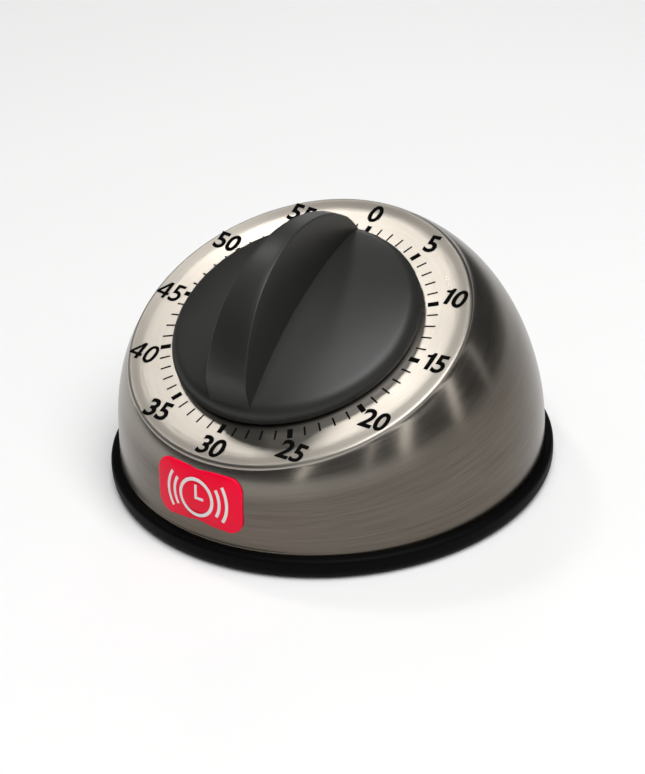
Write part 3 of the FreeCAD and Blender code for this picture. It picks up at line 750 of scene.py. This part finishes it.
def make_badge(find):
    """Label with a softened edge that follows the wall."""
    half_wide, half_high, corner_r, soft = 10.7, 6.2, 3.2, 0.2
    corner_steps, soft_steps = 10, 4
    outline = rounded_outline(half_wide, half_high, corner_r, corner_steps)
    # Each ring is a scale of the outline and a lift off the wall: back, side, soft edge, front.
    rings = [(scale, 0.0) for scale in (0.08, 0.35, 0.6, 0.8, 1.0)]
    rings.append((1.0, BADGE_T - soft))
    for i in range(1, soft_steps + 1):
        angle = math.pi / 2 * i / soft_steps
        scale = 1 - soft * (1 - math.cos(angle)) / half_high
        rings.append((scale, BADGE_T - soft * (1 - math.sin(angle))))
    rings += [(scale, BADGE_T) for scale in (0.85, 0.65, 0.45, 0.25, 0.08)]
    vertices, faces = [], []
    count = len(outline)
    for scale, lift in rings:
        vertices += [find(x * scale, BADGE_Z + z * scale, lift) for x, z in outline]
    for row in range(len(rings) - 1):
        for i in range(count):
            j = (i + 1) % count
            low, high = row * count, (row + 1) * count
            faces.append((low + i, low + j, high + j, high + i))
    faces.append(tuple(reversed(range(count))))
    faces.append(tuple(range(len(vertices) - count, len(vertices))))
    obj = new_object("badge_label", vertices, faces)
    finish_piece(obj, MATERIALS["badge_red"], "case", "badge_red", "badge_plate")


def ribbon(points, half, closed=False):
    """Quads of a flat line with square ends through 2-D points."""
    count = len(points)
    sides = []
    for i, point in enumerate(points):
        before = points[(i - 1) % count] if closed or i > 0 else point
        after = points[(i + 1) % count] if closed or i < count - 1 else point
        along = (Vector(after) - Vector(before)).normalized()
        across = Vector((-along.y, along.x)) * half
        sides.append((Vector(point) + across, Vector(point) - across))
    pairs = list(zip(sides, sides[1:]))
    if closed:
        pairs.append((sides[-1], sides[0]))
    return [(a[0], a[1], b[1], b[0]) for a, b in pairs]


def circle_line(radius, start, end, steps):
    angles = [math.radians(start + (end - start) * i / steps) for i in range(steps + 1)]
    return [(radius * math.cos(a), radius * math.sin(a)) for a in angles]


def make_pictogram(find):
    """White sign of a ringing clock: a ring, two hands and sound arcs on both sides."""
    thick = 0.03
    quads = ribbon(circle_line(4.0, 0, 360, 64)[:-1], 0.36, closed=True)
    quads += ribbon([(0, -0.3), (0, 0.3), (0, 1.1), (0, 2.0), (0, 2.9)], 0.3)
    quads += ribbon([(0.3, 0), (1.1, 0), (1.9, 0)], 0.3)
    for radius in (5.7, 7.4):
        quads += ribbon(circle_line(radius, -32, 32, 16), 0.34)
        quads += ribbon(circle_line(radius, 148, 212, 16), 0.34)
    spots = {}
    polygons = [
        tuple(spots.setdefault((round(x, 4), round(z, 4)), len(spots)) for x, z in quad)
        for quad in quads
    ]
    heights = (BADGE_T, BADGE_T + thick)
    vertices = [find(x, BADGE_Z + z, height) for height in heights for x, z in spots]
    faces = solid_faces(polygons, 0, len(spots))
    finish_piece(new_object("badge_sign", vertices, faces), WHITE, "case", "badge_red")


# ---- Stage, light and camera ----


def make_stage():
    size = 6.0
    mesh = bpy.data.meshes.new("floor")
    corners = [(-size, -size, 0), (size, -size, 0), (size, size, 0), (-size, size, 0)]
    mesh.from_pydata(corners, [], [(0, 1, 2, 3)])
    floor = bpy.data.objects.new("floor", mesh)
    bpy.context.scene.collection.objects.link(floor)
    nodes = Nodes("floor")
    nodes.set(Base_Color=(0.9, 0.9, 0.9, 1), Roughness=0.7)
    floor.data.materials.append(nodes.material)


def area_light(name, azimuth, elevation, distance, width, height, power, colour):
    """Rectangular light that faces the object. Azimuth runs from +X; angles are in degrees."""
    target = Vector((0, 0, 0.03))
    turn, rise = math.radians(azimuth), math.radians(elevation)
    level = math.cos(rise)
    away = Vector((math.cos(turn) * level, math.sin(turn) * level, math.sin(rise)))
    data = bpy.data.lights.new(name, "AREA")
    data.shape = "RECTANGLE"
    data.size = width
    data.size_y = height
    data.energy = power
    data.color = colour
    light = bpy.data.objects.new(name, data)
    light.location = target + away * distance
    light.rotation_euler = (-away).to_track_quat("-Z", "Y").to_euler()
    bpy.context.scene.collection.objects.link(light)


WARM = (1, 0.97, 0.93)
PALE = (1, 0.985, 0.96)
NEUTRAL = (1, 1, 1)
# Name, azimuth, elevation, distance, width, height, power and colour of each light.
LIGHTS = (
    ("key", 161, 54.5, 1.0, 0.11, 0.11, 0.98, PALE),
    ("top", -25, 70, 1.3, 1.2, 1.2, 21, NEUTRAL),
    ("side", 188, 36, 1.0, 0.5, 0.5, 0.42, NEUTRAL),
    ("strip_front_left", -72, 18, 1.0, 0.07, 0.6, 0.23, WARM),
    ("strip_front", -38, 18, 1.0, 0.05, 0.6, 0.1, WARM),
    ("strip_front_right", -18, 18, 1.0, 0.1, 0.6, 0.36, WARM),
    ("strip_right", 15, 18, 1.0, 0.09, 0.6, 0.27, WARM),
    ("strip_back_right", 41, 18, 1.0, 0.06, 0.6, 0.08, WARM),
    ("strip_back_left", 122, 24, 1.0, 0.2, 0.6, 0.6, NEUTRAL),
)


def make_lights():
    """Small key that the dial mirrors, large soft light above, strips for the wall's streaks."""
    for light in LIGHTS:
        area_light(*light)
    world = bpy.data.worlds.new("studio")
    bpy.context.scene.world = world
    world.use_nodes = True
    background = world.node_tree.nodes["Background"]
    background.inputs["Color"].default_value = (1, 1, 1, 1)
    background.inputs["Strength"].default_value = 0.06


def make_camera():
    """Camera that matches the view of the dial from the right. Azimuth runs from the front, -Y."""
    azimuth, elevation, roll = math.radians(36.87), math.radians(28.8), math.radians(-3.19)
    distance, target = 0.4015, Vector((0, 0, 0.025))
    data = bpy.data.cameras.new("camera")
    data.sensor_width = 36.0
    data.lens = 86.03
    data.shift_x = -0.00575
    data.shift_y = -0.043
    camera = bpy.data.objects.new("camera", data)
    back = Vector((
        math.sin(azimuth) * math.cos(elevation),
        -math.cos(azimuth) * math.cos(elevation),
        math.sin(elevation),
    ))
    camera.location = target + back * distance
    camera.rotation_mode = "QUATERNION"
    level = (-back).to_track_quat("-Z", "Y")
    camera.rotation_quaternion = level @ Matrix.Rotation(roll, 3, "Z").to_quaternion()
    bpy.context.scene.collection.objects.link(camera)
    bpy.context.scene.camera = camera


bpy.context.scene.view_settings.view_transform = "Standard"
paint_cad_nodes()
housing = make_housing()
make_band()
make_knob()
make_ticks()
make_numbers()
wall = surface_finder(housing)
make_badge(wall)
make_pictogram(wall)
make_stage()
make_lights()
make_camera()
